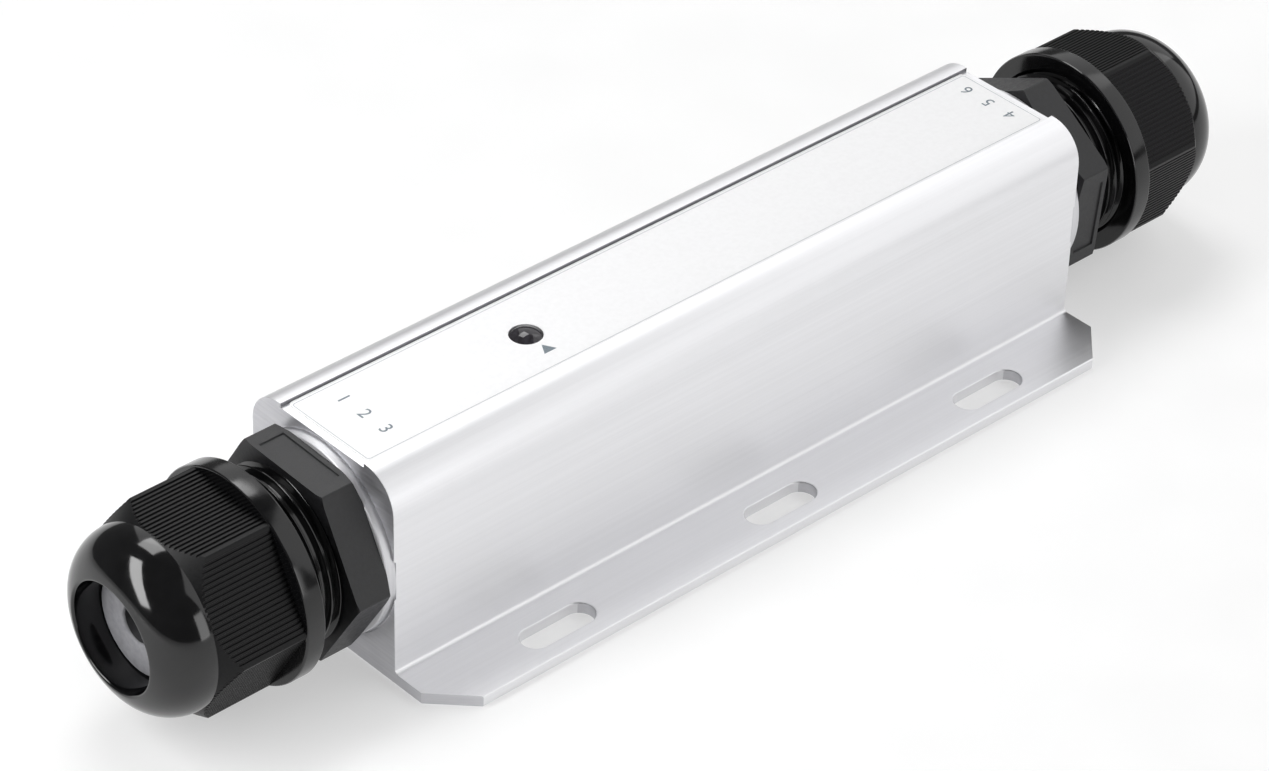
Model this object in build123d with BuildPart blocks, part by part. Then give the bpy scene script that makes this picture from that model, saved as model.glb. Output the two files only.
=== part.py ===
from build123d import *
import os
from math import cos, radians, sin, sqrt, tan

# In-line surge protector: an aluminium extrusion with a cable gland at each end.
# X runs along the cable, from the output end to the input end. Z is up from the mounting face.
# The origin lies on the mounting face, in the middle of the body's length and width.

# Housing extrusion
housing_length = 199.0
housing_width = 45.0
housing_height = 51.0
shoulder_radius = 8.75
recess_width = 26.4
recess_depth = 1.0
base_edge_radius = 0.6
edge_break = 0.25

# Flange with its slots, and the cut corners at both ends
flange_reach = 17.2
flange_thickness = 2.7
flange_corner = 9.0
fold_radius = 1.0
slot_width = 7.0
slot_length = 19.0
slot_pitch = 64.0
slot_count = 3
slot_from_wall = 9.9

# Bore for the electronics, tapped hole and turned seat for each gland
gland_axis_height = 26.5
bore_radius = 15.2
connection_radius = 16.0
connection_length = 12.0
tapping_depth = 13.0
seat_radius = 23.0
seat_depth = 0.5

# Label and indicator
label_thickness = 0.25
label_margin = 0.15
label_from_end = 1.8
indicator_from_output_end = 54.5
lens_radius = 3.6
lens_dome_height = 1.3
lens_head_thickness = 1.15
lens_stem_radius = 2.5
lens_to_led_gap = 0.4
lens_gasket_thickness = 1.0

# Seat ring between the housing and the gland
ring_radius = 22.5
ring_thickness = 2.5
ring_edge = 0.35

# Gland body: connecting stem, hexagon and threaded neck in one moulding
body_across_flats = 42.7
body_hex_length = 8.8
body_back_corner_cut = 0.75
body_front_corner_cut = 0.35
body_corner_cut_angle = 22.0
body_panel_width = 17.5
body_panel_length = 6.0
body_panel_depth = 0.35
body_bore_radius = 13.0
connection_chamfer = 0.8
neck_length = 16.2
neck_radius = 19.8
neck_chamfer = 1.2
neck_mouth_radius = 16.7
neck_mouth_depth = 6.5
clamp_cone_length = 7.0
thread_lead = 2.35

# Gland gasket in a groove in the back of the hexagon
gasket_thickness = 2.0
gasket_width = 2.6

# Dome nut: collar, ribbed hexagon and dome in one moulding
nut_across_flats = 41.7
nut_length = 35.1
nut_gap = 8.1
collar_radius = 24.3
collar_length = 4.8
collar_edge = 0.5
corner_cut_start = 20.3
corner_cut_end = 24.3
dome_start_radius = 20.72
dome_front_radius = 12.8
dome_arc_radius = 10.7
nut_lip = 0.7
nut_mouth_radius = 12.3
nut_throat_radius = 11.6
nut_throat_depth = 7.5
nut_shoulder_depth = 9.5
nut_inner_chamfer = 3.4
nut_entry_chamfer = 0.6
rib_pitch = 1.12
rib_count = 20
rib_depth = 0.35
nut_turns_each_way = 3

# Corner angles of the hexagons, from +Y towards +Z, as the threads came to a stop
body_corner_angle = {"output": 2.0, "input": 34.5}
nut_corner_angle = {"output": 1.8, "input": 47.6}

# Angle from a gland body's first corner to the flat that has the panel
panel_turn = {"output": 90.0, "input": 150.0}

# Clamp cage and cable seal
cage_flange_thickness = 3.0
cage_wall = 2.8
cage_finger_count = 12
cage_finger_length = 10.0
cage_finger_taper = 3.2
cage_slot_width = 1.8
cage_hub = 1.0
cage_cone_gap = 0.4
seal_hole_radius = 4.15
seal_hole_chamfer = 0.6
seal_front_radius = 11.3
seal_front_length = 3.5
seal_tail = 1.2
seal_tail_taper = 2.0

# Insulating sleeve with the board's rails
sleeve_wall = 1.1
rail_height = 1.2
rail_reach = 2.2

# Circuit board, measured down from the gland axis to its top face
board_below_axis = 4.2
board_thickness = 1.6
board_length = 159.0

# Three-pole terminal blocks, with wire entries and screws that face the gland
terminal_pitch = 5.0
terminal_poles = 3
terminal_width = 16.0
terminal_height = 12.0
terminal_depth = 11.0
terminal_inset = 0.5
wire_entry_width = 3.4
wire_entry_height = 3.6
wire_entry_depth = 8.0
wire_entry_above_board = 3.2
terminal_screw_radius = 1.7
terminal_screw_length = 6.0
terminal_screw_above_board = 8.6
terminal_screw_set_back = 1.2
driver_slot_width = 0.6
driver_slot_depth = 0.8

# Protection components on the board
lead_radius = 0.4
varistor_radius = 7.0
varistor_thickness = 4.6
varistor_edge = 1.2
varistor_count = 3
varistor_pitch = 11.0
varistor_to_fuse = 23.0
varistor_lead_height = 1.6
varistor_lead_spread = 7.5
fuse_from_board_end = 22.5
fuse_radius = 1.9
fuse_length = 9.0
fuse_spacing = 10.4
tube_place = -9.0
tube_radius = 4.0
tube_length = 8.0
tube_cap_radius = 3.6
tube_cap_length = 1.4
resistor_place = -27.0
resistor_radius = 1.25
resistor_length = 6.5
resistor_side = 6.0
axial_standoff = 0.4
axial_lead_reach = 1.6
led_radius = 2.5
led_flange_radius = 2.9
led_flange_height = 1.0
led_height = 8.6

# Earth bond between the board and the housing
earth_place = 8.0
post_across_flats = 7.0
screw_radius = 2.0
earth_screw_length = 15.0
earth_head_radius = 4.0
earth_head_below_face = 0.2
board_screw_length = 6.0
board_head_radius = 3.5
board_head_height = 2.2
socket_across_flats = 2.5
socket_depth = 1.2

# Clearances
thread_clearance = 0.05
nut_thread_clearance = 0.1
seat_gap = 0.3
slip_fit = 0.1
rest_gap = 0.05

# Where the pieces of a gland lie, measured outwards from the housing's end face
hex_back = ring_thickness - seat_depth
hex_front = hex_back + body_hex_length
neck_end = hex_front + neck_length
cone_start = neck_end - neck_mouth_depth
cone_end = cone_start - clamp_cone_length
nut_back = hex_front + nut_gap
collar_front = nut_back + collar_length
nut_front = nut_back + nut_length
nut_shoulder = nut_front - nut_shoulder_depth
nut_travel = nut_turns_each_way * thread_lead
cage_front = nut_shoulder - seat_gap
cage_flange_back = neck_end + nut_travel + seat_gap
cage_tip = cage_flange_back - cage_finger_length
seal_back = cage_tip + seal_tail
seal_front = cage_front + seal_front_length

# Radii that follow from the pieces that they meet
nut_bore_radius = neck_radius + nut_thread_clearance
cage_flange_radius = nut_bore_radius - seat_gap
cage_hub_radius = nut_bore_radius - nut_inner_chamfer - seat_gap
cage_finger_radius = neck_mouth_radius - seat_gap
cage_inner_radius = cage_finger_radius - cage_wall
cone_slope = (neck_mouth_radius - body_bore_radius) / clamp_cone_length
cage_tip_radius = body_bore_radius + cone_slope * (cage_tip - nut_travel - cone_end) - cage_cone_gap
seal_radius = cage_inner_radius - seat_gap
sleeve_radius = bore_radius - slip_fit
sleeve_inner_radius = sleeve_radius - sleeve_wall

# Heights above the mounting face
recess_floor = housing_height - recess_depth
lens_seat = recess_floor - lens_head_thickness
board_top = gland_axis_height - board_below_axis
board_bottom = board_top - board_thickness
led_top = board_top + led_height
board_half_width = sqrt(sleeve_inner_radius**2 - (board_below_axis + board_thickness) ** 2) - slip_fit
post_bottom = gland_axis_height - sqrt(bore_radius**2 - (post_across_flats / 2) ** 2) + rest_gap

# Places along X from the middle of the board, and the two ends by name with the way each one faces
half_length = housing_length / 2
indicator_x = indicator_from_output_end - half_length
terminal_face = board_length / 2 - terminal_inset
fuse_place = board_length / 2 - fuse_from_board_end
varistor_place = fuse_place - varistor_to_fuse
ends = {"output": -1, "input": 1}

os.makedirs("parts", exist_ok=True)


def keep(piece, name):
    """Labels a finished piece and writes it."""
    piece.part.label = name
    export_step(piece.part, f"parts/{name}.step")


def gland_axis(end):
    """Axis of the gland at one end, pointing outwards."""
    return Axis((end * half_length, 0, gland_axis_height), (end, 0, 0))


def across(end, out):
    """Plane square to a gland's axis, at a distance outwards from the housing's end face."""
    place = (end * (half_length + out), 0, gland_axis_height)
    return Plane(origin=place, x_dir=(0, 1, 0), z_dir=(end, 0, 0))


def half_section(end):
    """Plane through a gland's axis: outwards from the end face first, then the radius."""
    place = (end * half_length, 0, gland_axis_height)
    return Plane(origin=place, x_dir=(end, 0, 0), z_dir=(0, -end, 0))


def turned_profile(end, outline):
    """Face in a gland's half section, from (distance outwards, radius) points."""
    with BuildSketch(half_section(end)) as profile:
        with BuildLine():
            Polyline(*outline, close=True)
        make_face()
    return profile.sketch


def upright(x, z):
    """Plane that stands along X, with its origin on the middle line at a place and height."""
    return Plane(origin=(x, 0, z), x_dir=(1, 0, 0), z_dir=(0, -1, 0))


def corner_radius(across_flats):
    """Distance from the middle of a hexagon to its corners."""
    return across_flats / sqrt(3)


# Housing: one extruded section, then the sawn ends are machined.
with BuildPart() as housing:
    with BuildSketch(Plane.YZ.offset(-half_length)) as section:
        with BuildLine():
            Polyline(
                (housing_width / 2, 0),
                (housing_width / 2, housing_height),
                (-housing_width / 2, housing_height),
                (-housing_width / 2, flange_thickness),
                (-housing_width / 2 - flange_reach, flange_thickness),
                (-housing_width / 2 - flange_reach, 0),
                close=True,
            )
        make_face()
        flange_corners = section.vertices().group_by(Axis.Y)[1].sort_by(Axis.X)
        base_corners = section.vertices().group_by(Axis.Y)[0].sort_by(Axis.X)
        top_corners = section.vertices().group_by(Axis.Y)[-1]
        fillet(top_corners, shoulder_radius)
        fillet(flange_corners[-1], fold_radius)
        fillet(base_corners[-1], base_edge_radius)
        chamfer(flange_corners[0], edge_break)
        with Locations((0, housing_height)):
            Rectangle(recess_width, 2 * recess_depth, mode=Mode.SUBTRACT)
    extrude(amount=housing_length)

    # Cut corners of the flange
    chamfer(housing.edges().filter_by(Axis.Z).group_by(Axis.Y)[0], flange_corner)

    # Slots through the flange, with the edge taken off all round on top
    with BuildSketch(Plane.XY.offset(flange_thickness)):
        with Locations((0, -housing_width / 2 - slot_from_wall)):
            with GridLocations(slot_pitch, 0, slot_count, 1):
                SlotOverall(slot_length, slot_width)
    extrude(amount=-flange_thickness, mode=Mode.SUBTRACT)
    chamfer(housing.edges(Select.LAST).group_by(Axis.Z)[-1], edge_break)

    # Bore for the electronics
    with BuildSketch(across(-1, 0)):
        Circle(bore_radius)
    extrude(amount=-housing_length, mode=Mode.SUBTRACT)

    # Tapped hole and turned seat for each gland
    for end in ends.values():
        with BuildSketch(across(end, 0)):
            Circle(connection_radius + thread_clearance)
        extrude(amount=-tapping_depth, mode=Mode.SUBTRACT)
        with BuildSketch(across(end, 0)):
            Circle(seat_radius)
        extrude(amount=-seat_depth, mode=Mode.SUBTRACT)

    # Stepped hole for the indicator, through the top wall
    with Locations((indicator_x, 0, recess_floor)):
        CounterBoreHole(
            radius=lens_stem_radius + slip_fit,
            counter_bore_radius=lens_radius + slip_fit,
            counter_bore_depth=lens_head_thickness + lens_gasket_thickness,
            depth=recess_floor - gland_axis_height,
        )

    # Countersunk hole for the earth screw, through the bottom wall
    with Locations(Plane(origin=(earth_place, 0, 0), z_dir=(0, 0, -1))):
        CounterSinkHole(
            radius=screw_radius + slip_fit,
            counter_sink_radius=earth_head_radius + earth_head_below_face + slip_fit,
            depth=gland_axis_height,
            counter_sink_angle=90,
        )
keep(housing, "housing")

# Label: a film in the recess, with a hole round the indicator.
with BuildPart() as label:
    with BuildSketch(Plane.XY.offset(recess_floor)):
        Rectangle(housing_length - 2 * label_from_end, recess_width - 2 * label_margin)
        with Locations((indicator_x, 0)):
            Circle(lens_radius + slip_fit, mode=Mode.SUBTRACT)
    extrude(amount=label_thickness)
keep(label, "label")

# Indicator lens: a low dome on a head that fills its counterbore, and a stem that carries the light up.
with BuildPart() as indicator_lens:
    with BuildSketch(upright(indicator_x, 0)):
        with BuildLine():
            Polyline(
                (0, recess_floor + lens_dome_height),
                (0, led_top + lens_to_led_gap),
                (lens_stem_radius, led_top + lens_to_led_gap),
                (lens_stem_radius, lens_seat),
                (lens_radius, lens_seat),
                (lens_radius, recess_floor),
            )
            dome_radius = (lens_radius**2 + lens_dome_height**2) / (2 * lens_dome_height)
            RadiusArc((lens_radius, recess_floor), (0, recess_floor + lens_dome_height), -dome_radius)
        make_face()
    revolve(axis=Axis((indicator_x, 0, 0), (0, 0, 1)))
keep(indicator_lens, "indicator_lens")

# Indicator gasket: round the stem, pressed down by the lens head.
with BuildPart() as indicator_gasket:
    with BuildSketch(Plane.XY.offset(lens_seat)):
        with Locations((indicator_x, 0)):
            Circle(lens_radius)
            Circle(lens_stem_radius + slip_fit, mode=Mode.SUBTRACT)
    extrude(amount=-lens_gasket_thickness)
keep(indicator_gasket, "indicator_gasket")

for side, end in ends.items():
    # Seat ring: turned, with its outer corners taken off.
    with BuildPart() as seat_ring:
        ring_bore = connection_radius + seat_gap
        ring_outline = [
            (-seat_depth, ring_bore),
            (-seat_depth, ring_radius),
            (hex_back - ring_edge, ring_radius),
            (hex_back, ring_radius - ring_edge),
            (hex_back, ring_bore),
        ]
        revolve(turned_profile(end, ring_outline), axis=gland_axis(end))
    keep(seat_ring, f"{side}_seat_ring")

    # Gland gasket: in the groove at the back of the hexagon, against the seat ring.
    with BuildPart() as gland_gasket:
        with BuildSketch(across(end, hex_back)):
            Circle(connection_radius + slip_fit + gasket_width)
            Circle(connection_radius + slip_fit, mode=Mode.SUBTRACT)
        extrude(amount=gasket_thickness)
    keep(gland_gasket, f"{side}_gland_gasket")

    # Gland body: hexagon with its corners cut at both faces, then stem, neck, bore, groove and panel.
    with BuildPart() as gland_body:
        hex_corner = corner_radius(body_across_flats)
        cut_reach = 1 / tan(radians(body_corner_cut_angle))
        body_turn = end * body_corner_angle[side]
        with BuildSketch(across(end, hex_back)):
            RegularPolygon(hex_corner, 6, rotation=body_turn)
        extrude(amount=body_hex_length)
        hex_envelope = [
            (hex_back, 0),
            (hex_back, hex_corner - cut_reach * body_back_corner_cut),
            (hex_back + body_back_corner_cut, hex_corner),
            (hex_front - body_front_corner_cut, hex_corner),
            (hex_front, hex_corner - cut_reach * body_front_corner_cut),
            (hex_front, 0),
        ]
        revolve(turned_profile(end, hex_envelope), axis=gland_axis(end), mode=Mode.INTERSECT)

        # Connecting stem and neck, both plain at the size of their threads' crests
        stem_outline = [
            (-connection_length, 0),
            (-connection_length, connection_radius - connection_chamfer),
            (connection_chamfer - connection_length, connection_radius),
            (hex_back, connection_radius),
            (hex_back, neck_radius),
            (neck_end - neck_chamfer, neck_radius),
            (neck_end, neck_radius - neck_chamfer),
            (neck_end, 0),
        ]
        revolve(turned_profile(end, stem_outline), axis=gland_axis(end))

        # Cable bore, clamping cone and mouth
        bore_outline = [
            (-connection_length, 0),
            (-connection_length, body_bore_radius),
            (cone_end, body_bore_radius),
            (cone_start, neck_mouth_radius),
            (neck_end, neck_mouth_radius),
            (neck_end, 0),
        ]
        revolve(turned_profile(end, bore_outline), axis=gland_axis(end), mode=Mode.SUBTRACT)

        # Groove for the gasket
        with BuildSketch(across(end, hex_back)):
            Circle(connection_radius + gasket_width + 2 * slip_fit)
            Circle(connection_radius, mode=Mode.SUBTRACT)
        extrude(amount=gasket_thickness, mode=Mode.SUBTRACT)

        # Sunk plain panel on one flat
        panel_angle = radians(body_corner_angle[side] + panel_turn[side])
        flat = Plane(
            origin=(
                end * (half_length + (hex_back + hex_front) / 2),
                body_across_flats / 2 * cos(panel_angle),
                gland_axis_height + body_across_flats / 2 * sin(panel_angle),
            ),
            x_dir=(1, 0, 0),
            z_dir=(0, cos(panel_angle), sin(panel_angle)),
        )
        with BuildSketch(flat):
            Rectangle(body_panel_length, body_panel_width)
        extrude(amount=-body_panel_depth, mode=Mode.SUBTRACT)
    keep(gland_body, f"{side}_gland_body")

    # Dome nut: a hexagon with grooved flats, its corners run out in a cone, then the collar and the dome.
    with BuildPart() as dome_nut:
        nut_corner = corner_radius(nut_across_flats)
        nut_turn = end * nut_corner_angle[side]
        with BuildSketch(across(end, nut_back + collar_length / 2)):
            RegularPolygon(nut_corner, 6, rotation=nut_turn)
            with PolarLocations(nut_across_flats / 2, 6, start_angle=nut_turn + 30):
                with GridLocations(0, rib_pitch, 1, rib_count):
                    Polygon(
                        (rib_depth, -rib_pitch / 2),
                        (rib_depth, rib_pitch / 2),
                        (0, rib_pitch / 2),
                        (-rib_depth, 0),
                        (0, -rib_pitch / 2),
                        align=None,
                        mode=Mode.SUBTRACT,
                    )
        extrude(amount=corner_cut_end - collar_length / 2)
        cut_run = (corner_cut_end - corner_cut_start) / (nut_corner - dome_start_radius)
        nut_envelope = [
            (nut_back, 0),
            (nut_back, nut_corner + 1),
            (nut_back + corner_cut_start - cut_run, nut_corner + 1),
            (nut_back + corner_cut_end, dome_start_radius),
            (nut_back + corner_cut_end, 0),
        ]
        revolve(turned_profile(end, nut_envelope), axis=gland_axis(end), mode=Mode.INTERSECT)

        collar_outline = [
            (nut_back, 0),
            (nut_back, collar_radius - collar_edge),
            (nut_back + collar_edge, collar_radius),
            (collar_front - collar_edge, collar_radius),
            (collar_front, collar_radius - collar_edge),
            (collar_front, 0),
        ]
        revolve(turned_profile(end, collar_outline), axis=gland_axis(end))

        with BuildSketch(half_section(end)):
            with BuildLine():
                dome_back = nut_back + corner_cut_end
                dome_core_radius = nut_across_flats / 2 - 2 * rib_depth
                Polyline(
                    (nut_front, dome_front_radius),
                    (nut_front, 0),
                    (nut_shoulder - nut_inner_chamfer, 0),
                    (nut_shoulder - nut_inner_chamfer, dome_core_radius),
                    (dome_back, dome_core_radius),
                    (dome_back, dome_start_radius),
                )
                RadiusArc((dome_back, dome_start_radius), (nut_front, dome_front_radius), dome_arc_radius)
            make_face()
        revolve(axis=gland_axis(end))

        nut_bore_outline = [
            (nut_back, 0),
            (nut_back, nut_bore_radius + nut_entry_chamfer),
            (nut_back + nut_entry_chamfer, nut_bore_radius),
            (nut_shoulder - nut_inner_chamfer, nut_bore_radius),
            (nut_shoulder, nut_bore_radius - nut_inner_chamfer),
            (nut_shoulder, nut_throat_radius),
            (nut_front - nut_throat_depth, nut_throat_radius),
            (nut_front - nut_lip, nut_mouth_radius),
            (nut_front, dome_front_radius),
            (nut_front, 0),
        ]
        revolve(turned_profile(end, nut_bore_outline), axis=gland_axis(end), mode=Mode.SUBTRACT)
    keep(dome_nut, f"{side}_dome_nut")

    # Clamp cage: a hub and flange inside the nut, with fingers that reach into the gland's cone.
    with BuildPart() as clamp_cage:
        cage_outline = [
            (cage_front, cage_inner_radius),
            (cage_front, cage_hub_radius),
            (cage_flange_back + cage_flange_thickness, cage_hub_radius),
            (cage_flange_back + cage_flange_thickness, cage_flange_radius),
            (cage_flange_back, cage_flange_radius),
            (cage_flange_back, cage_finger_radius),
            (cage_tip + cage_finger_taper, cage_finger_radius),
            (cage_tip, cage_tip_radius),
            (cage_tip, cage_inner_radius),
        ]
        revolve(turned_profile(end, cage_outline), axis=gland_axis(end))
        with BuildSketch(across(end, cage_tip)):
            with PolarLocations(cage_finger_radius, cage_finger_count):
                Rectangle(2 * (cage_wall + seat_gap), cage_slot_width)
        extrude(amount=cage_finger_length - cage_hub, mode=Mode.SUBTRACT)
    keep(clamp_cage, f"{side}_clamp_cage")

    # Cable seal: rubber insert inside the cage, with its front boss in the throat of the nut.
    with BuildPart() as cable_seal:
        seal_outline = [
            (seal_back, seal_hole_radius + seal_hole_chamfer),
            (seal_back, seal_radius - seal_tail_taper),
            (seal_back + seal_tail_taper, seal_radius),
            (cage_front, seal_radius),
            (cage_front, seal_front_radius),
            (seal_front, seal_front_radius),
            (seal_front, seal_hole_radius + seal_hole_chamfer),
            (seal_front - seal_hole_chamfer, seal_hole_radius),
            (seal_back + seal_hole_chamfer, seal_hole_radius),
        ]
        revolve(turned_profile(end, seal_outline), axis=gland_axis(end))
    keep(cable_seal, f"{side}_cable_seal")

    # Terminal block: wire entries low, screw wells above them, all in the face towards the gland.
    # In a plane across the gland's axis the second coordinate runs up at the input end only,
    # so heights carry the sign of their end.
    face_out = terminal_face - half_length
    entry_height = end * (wire_entry_above_board - board_below_axis)
    screw_height = end * (terminal_screw_above_board - board_below_axis)
    block_height = end * (terminal_height / 2 - board_below_axis)
    well_depth = terminal_screw_set_back + terminal_screw_length + rest_gap
    with BuildPart() as terminal_block:
        with BuildSketch(across(end, face_out)):
            with Locations((0, block_height)):
                Rectangle(terminal_width, terminal_height)
        extrude(amount=-terminal_depth)
        with BuildSketch(across(end, face_out)):
            with Locations((0, entry_height)):
                with GridLocations(terminal_pitch, 0, terminal_poles, 1):
                    Rectangle(wire_entry_width, wire_entry_height)
        extrude(amount=-wire_entry_depth, mode=Mode.SUBTRACT)
        with BuildSketch(across(end, face_out)):
            with Locations((0, screw_height)):
                with GridLocations(terminal_pitch, 0, terminal_poles, 1):
                    Circle(terminal_screw_radius + slip_fit)
        extrude(amount=-well_depth, mode=Mode.SUBTRACT)
    keep(terminal_block, f"{side}_terminal_block")

    # Terminal screws: set back in their wells, with a driver slot.
    with BuildPart() as terminal_screws:
        with BuildSketch(across(end, face_out - terminal_screw_set_back)):
            with Locations((0, screw_height)):
                with GridLocations(terminal_pitch, 0, terminal_poles, 1):
                    Circle(terminal_screw_radius)
        extrude(amount=-terminal_screw_length)
        with BuildSketch(across(end, face_out - terminal_screw_set_back)):
            with Locations((0, screw_height)):
                with GridLocations(terminal_pitch, 0, terminal_poles, 1):
                    Rectangle(driver_slot_width, 3 * terminal_screw_radius)
        extrude(amount=-driver_slot_depth, mode=Mode.SUBTRACT)
    keep(terminal_screws, f"{side}_terminal_screws")

# Insulating sleeve: fills the bore between the glands, with rails above and below the board's edges.
with BuildSketch() as sleeve_ring:
    Circle(sleeve_radius)
    Circle(sleeve_inner_radius, mode=Mode.SUBTRACT)
with BuildSketch() as rails:
    lower_rail = -board_below_axis - board_thickness - rest_gap - rail_height / 2
    upper_rail = -board_below_axis + rest_gap + rail_height / 2
    with Locations((0, lower_rail), (0, upper_rail)):
        Rectangle(2 * bore_radius, rail_height)
        Rectangle(2 * (board_half_width - rail_reach), rail_height, mode=Mode.SUBTRACT)
    Circle((sleeve_radius + sleeve_inner_radius) / 2, mode=Mode.INTERSECT)
with BuildPart() as insulating_sleeve:
    with BuildSketch(across(1, -connection_length - seat_gap)):
        add(sleeve_ring.sketch)
        add(rails.sketch)
    extrude(amount=2 * (connection_length + seat_gap) - housing_length)
    with BuildSketch(Plane.XY.offset(gland_axis_height)):
        with Locations((indicator_x, 0)):
            Circle(lens_stem_radius + seat_gap)
    extrude(amount=bore_radius, mode=Mode.SUBTRACT)
    with BuildSketch(Plane.XY.offset(gland_axis_height)):
        with Locations((earth_place, 0)):
            Circle(corner_radius(post_across_flats) + seat_gap)
    extrude(amount=-bore_radius, mode=Mode.SUBTRACT)
keep(insulating_sleeve, "insulating_sleeve")

# Circuit board: slides between the rails, with one screw hole over the earth post.
with BuildPart() as circuit_board:
    with BuildSketch(Plane.XY.offset(board_bottom)):
        Rectangle(board_length, 2 * board_half_width)
        with Locations((earth_place, 0)):
            Circle(screw_radius + slip_fit, mode=Mode.SUBTRACT)
    extrude(amount=board_thickness)
keep(circuit_board, "circuit_board")

# Varistors: coated discs that stand across the board on two leads each.
with BuildPart() as varistors:
    disc_height = board_top + varistor_lead_height + varistor_radius
    with Locations((varistor_place, 0, disc_height)):
        with GridLocations(varistor_pitch, 0, varistor_count, 1):
            Cylinder(varistor_radius, varistor_thickness, rotation=(0, 90, 0))
    chamfer(varistors.edges(), varistor_edge)
    with Locations((varistor_place, 0, board_top)):
        with GridLocations(varistor_pitch, varistor_lead_spread, varistor_count, 2):
            Cylinder(
                lead_radius,
                disc_height - board_top,
                align=(Align.CENTER, Align.CENTER, Align.MIN),
            )
keep(varistors, "varistors")


def axial_component(place, side, radius, length):
    """Round component that lies along X on the board, on a lead bent down at each end."""
    axis_height = board_top + axial_standoff + radius
    lead_place = length / 2 + axial_lead_reach
    with BuildPart() as component:
        with Locations((place, side, axis_height)):
            Cylinder(radius, length, rotation=(0, 90, 0))
            Cylinder(lead_radius, 2 * lead_place, rotation=(0, 90, 0))
        with Locations((place, side, board_top)):
            with GridLocations(2 * lead_place, 0, 2, 1):
                Cylinder(
                    lead_radius,
                    axis_height - board_top + lead_radius,
                    align=(Align.CENTER, Align.CENTER, Align.MIN),
                )
    return component.part


# Thermal fuses: one in each line, beside the varistors that they guard.
with BuildPart() as thermal_fuses:
    for fuse_side in (-fuse_spacing / 2, fuse_spacing / 2):
        add(axial_component(fuse_place, fuse_side, fuse_radius, fuse_length))
keep(thermal_fuses, "thermal_fuses")

# Gas discharge tube: a ceramic barrel across the board between two metal caps with short leads.
with BuildPart() as gas_discharge_tube:
    tube_height = board_top + axial_standoff + tube_radius
    with Locations((tube_place, 0, tube_height)):
        Cylinder(tube_cap_radius, tube_length, rotation=(90, 0, 0))
        Cylinder(tube_radius, tube_length - 2 * tube_cap_length, rotation=(90, 0, 0))
    with Locations((tube_place, 0, board_top)):
        with GridLocations(0, tube_length - tube_cap_length, 1, 2):
            Cylinder(
                lead_radius,
                tube_height - board_top,
                align=(Align.CENTER, Align.CENTER, Align.MIN),
            )
keep(gas_discharge_tube, "gas_discharge_tube")

# Indicator LED: flanged body with a round top, on the board under the lens stem.
with BuildPart() as indicator_led:
    with BuildSketch(upright(indicator_x, board_top)):
        with BuildLine():
            Polyline(
                (0, led_height),
                (0, 0),
                (led_flange_radius, 0),
                (led_flange_radius, led_flange_height),
                (led_radius, led_flange_height),
                (led_radius, led_height - led_radius),
            )
            RadiusArc((led_radius, led_height - led_radius), (0, led_height), -led_radius)
        make_face()
    revolve(axis=Axis((indicator_x, 0, 0), (0, 0, 1)))
keep(indicator_led, "indicator_led")

# LED resistor
with BuildPart() as led_resistor:
    add(axial_component(resistor_place, resistor_side, resistor_radius, resistor_length))
keep(led_resistor, "led_resistor")

# Earth post: a threaded hexagon spacer between the bore's floor and the board.
with BuildPart() as earth_post:
    with BuildSketch(Plane.XY.offset(post_bottom)):
        with Locations((earth_place, 0)):
            RegularPolygon(corner_radius(post_across_flats), 6)
            Circle(screw_radius + thread_clearance, mode=Mode.SUBTRACT)
    extrude(amount=board_bottom - post_bottom)
keep(earth_post, "earth_post")

# Earth screw: countersunk, up through the housing's bottom wall into the post.
with BuildPart() as earth_screw:
    head_bottom = earth_head_below_face
    head_top = head_bottom + earth_head_radius - screw_radius
    with BuildSketch(upright(earth_place, 0)):
        Polygon(
            (0, head_bottom),
            (earth_head_radius, head_bottom),
            (screw_radius, head_top),
            (screw_radius, head_bottom + earth_screw_length),
            (0, head_bottom + earth_screw_length),
            align=None,
        )
    revolve(axis=Axis((earth_place, 0, 0), (0, 0, 1)))
    with BuildSketch(Plane.XY.offset(head_bottom)):
        with Locations((earth_place, 0)):
            RegularPolygon(corner_radius(socket_across_flats), 6)
    extrude(amount=socket_depth, mode=Mode.SUBTRACT)
keep(earth_screw, "earth_screw")

# Board screw: pan head, down through the board into the post.
with BuildPart() as board_screw:
    with Locations((earth_place, 0, board_top)):
        Cylinder(board_head_radius, board_head_height, align=(Align.CENTER, Align.CENTER, Align.MIN))
        Cylinder(screw_radius, board_screw_length, align=(Align.CENTER, Align.CENTER, Align.MAX))
    with BuildSketch(Plane.XY.offset(board_top + board_head_height)):
        with Locations((earth_place, 0)):
            RegularPolygon(corner_radius(socket_across_flats), 6)
    extrude(amount=-socket_depth, mode=Mode.SUBTRACT)
keep(board_screw, "board_screw")
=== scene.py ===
from math import copysign, cos, pi, radians, sin, sqrt, tan, tau

import bmesh
import bpy
from mathutils import Matrix, Vector


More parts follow.
